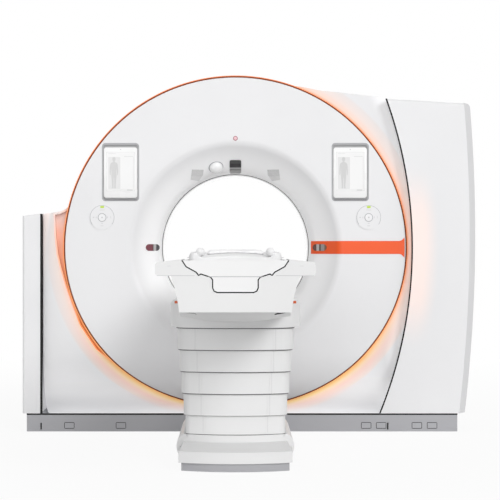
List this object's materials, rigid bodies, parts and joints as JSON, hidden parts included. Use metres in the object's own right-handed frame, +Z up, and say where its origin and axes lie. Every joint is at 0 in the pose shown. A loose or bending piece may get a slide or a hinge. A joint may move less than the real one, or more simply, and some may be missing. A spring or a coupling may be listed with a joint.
{
  "type": "computed tomography scanner",
  "caption": "Whole-body scanner: a tilting ring gantry between two floor-standing towers, and a patient table on a telescopic column whose top slides into the bore.",
  "frame": {"origin": "on the floor straight below the isocentre, at the centre of the gantry's anchor pattern", "axes": "+Z up; +Y along the bore axis, from the patient table into the gantry; +X across, to the right as seen from the table"},
  "size_m": [2.482, 3.45, 1.9441],
  "materials": {
    "cover_white": "satin painted moulding",
    "side_panel_grey": "satin painted moulding, slightly darker",
    "bore_white": "satin moulding",
    "scan_window": "clear-coated film ring",
    "light_amber": "lit light guide",
    "channel_orange": "painted pan, lit by the ring",
    "accent_orange": "satin orange strip",
    "window_dark": "smoked window",
    "dome_white": "gloss dome",
    "grille_grey": "perforated",
    "dock_grey": "matt tray",
    "tablet_white": "gloss glass front",
    "panel_white": "membrane keypad",
    "button_white": "satin key",
    "status_red": "small ring light",
    "frame_steel": "powder coat",
    "cabinet_grey": "powder coat",
    "drive_black": "black motor paint",
    "plinth_grey": "textured grey",
    "post_steel": "ground steel",
    "rotor_aluminium": "machined",
    "tube_metal": "satin",
    "table_white": "satin moulding",
    "sleeve_white": "satin moulding",
    "carbon_top": "painted composite",
    "mattress_white": "coated fabric"
  },
  "bodies": {
    "floor_base": {"base_frame": "frame_steel", "pedestals": "frame_steel", "power_cabinet": "cabinet_grey", "tilt_drive": "drive_black", "left_tower_cover": "cover_white", "right_tower_cover": "cover_white", "right_side_panel": "side_panel_grey", "plinth_boards": "plinth_grey", "table_base_frame": "frame_steel", "table_plinth": "plinth_grey", "table_base_cover": "table_white", "column_section_6": "sleeve_white", "post_outer": "post_steel"},
    "gantry": {"tilt_frame": "frame_steel", "front_cover": "cover_white", "light_ring": "light_amber", "light_channel": "channel_orange", "left_body_cover": "cover_white", "right_body_cover": "cover_white", "top_housing": "cover_white", "bottom_housing": "cover_white", "rear_cover": "cover_white", "front_funnel": "bore_white", "rear_funnel": "bore_white", "scan_window": "scan_window", "accent_bar": "accent_orange", "laser_windows": "window_dark", "camera_dome": "dome_white", "speaker_grilles": "grille_grey", "tablet_docks": "dock_grey", "tablets": "tablet_white", "control_panels": "panel_white", "status_light": "status_red"},
    "button_left": {"stop_button_left": "button_white"},
    "button_right": {"stop_button_right": "button_white"},
    "rotor": {"rotor_drum": "rotor_aluminium", "rotor_plate": "rotor_aluminium", "xray_source": "tube_metal", "detector": "tube_metal", "hv_generator": "cabinet_grey", "cooling_unit": "cabinet_grey"},
    "table_body": {"column_section_1": "table_white", "post_inner": "post_steel", "table_frame": "frame_steel", "table_shell": "table_white", "table_end_cover": "table_white", "table_wings": "table_white"},
    "sleeve_2": {"column_section_2": "sleeve_white"},
    "sleeve_3": {"column_section_3": "sleeve_white"},
    "sleeve_4": {"column_section_4": "sleeve_white"},
    "sleeve_5": {"column_section_5": "sleeve_white"},
    "lift_middle": {"post_middle": "post_steel"},
    "table_top": {"tabletop": "carbon_top", "carriage": "table_white", "mattress": "mattress_white", "positioning_rolls": "mattress_white", "head_cushion": "mattress_white"}
  },
  "joints": [
    {"name": "gantry_tilt", "type": "hinge", "parent": "floor_base", "child": "gantry", "pos_m": [0, 0, 1.003], "axis": [-1, 0, 0], "range_deg": [-25, 25]},
    {"name": "rotor_spin", "type": "hinge", "parent": "gantry", "child": "rotor", "pos_m": [0, 0, 1.003], "axis": [0, 1, 0], "continuous": true},
    {"name": "stop_press_left", "type": "slide", "parent": "gantry", "child": "button_left", "axis": [0, 1, 0], "range_m": [0, 0.002], "stiffness_N_per_m": 800},
    {"name": "stop_press_right", "type": "slide", "parent": "gantry", "child": "button_right", "axis": [0, 1, 0], "range_m": [0, 0.002], "stiffness_N_per_m": 800},
    {"name": "table_lift", "type": "slide", "parent": "floor_base", "child": "table_body", "axis": [0, 0, 1], "range_m": [-0.43, 0]},
    {"name": "sleeve_2_slide", "type": "slide", "parent": "floor_base", "child": "sleeve_2", "axis": [0, 0, 1], "range_m": [-0.3445, 0]},
    {"name": "sleeve_3_slide", "type": "slide", "parent": "floor_base", "child": "sleeve_3", "axis": [0, 0, 1], "range_m": [-0.2585, 0]},
    {"name": "sleeve_4_slide", "type": "slide", "parent": "floor_base", "child": "sleeve_4", "axis": [0, 0, 1], "range_m": [-0.1725, 0]},
    {"name": "sleeve_5_slide", "type": "slide", "parent": "floor_base", "child": "sleeve_5", "axis": [0, 0, 1], "range_m": [-0.0865, 0]},
    {"name": "lift_middle_slide", "type": "slide", "parent": "floor_base", "child": "lift_middle", "axis": [0, 0, 1], "range_m": [-0.2155, 0]},
    {"name": "tabletop_slide", "type": "slide", "parent": "table_body", "child": "table_top", "axis": [0, 1, 0], "range_m": [0, 1.7]}
  ],
  "couplings": [
    {"joint": "sleeve_2_slide", "follows": "table_lift", "ratio": 0.8},
    {"joint": "sleeve_3_slide", "follows": "table_lift", "ratio": 0.6},
    {"joint": "sleeve_4_slide", "follows": "table_lift", "ratio": 0.4},
    {"joint": "sleeve_5_slide", "follows": "table_lift", "ratio": 0.2},
    {"joint": "lift_middle_slide", "follows": "table_lift", "ratio": 0.5}
  ]
}
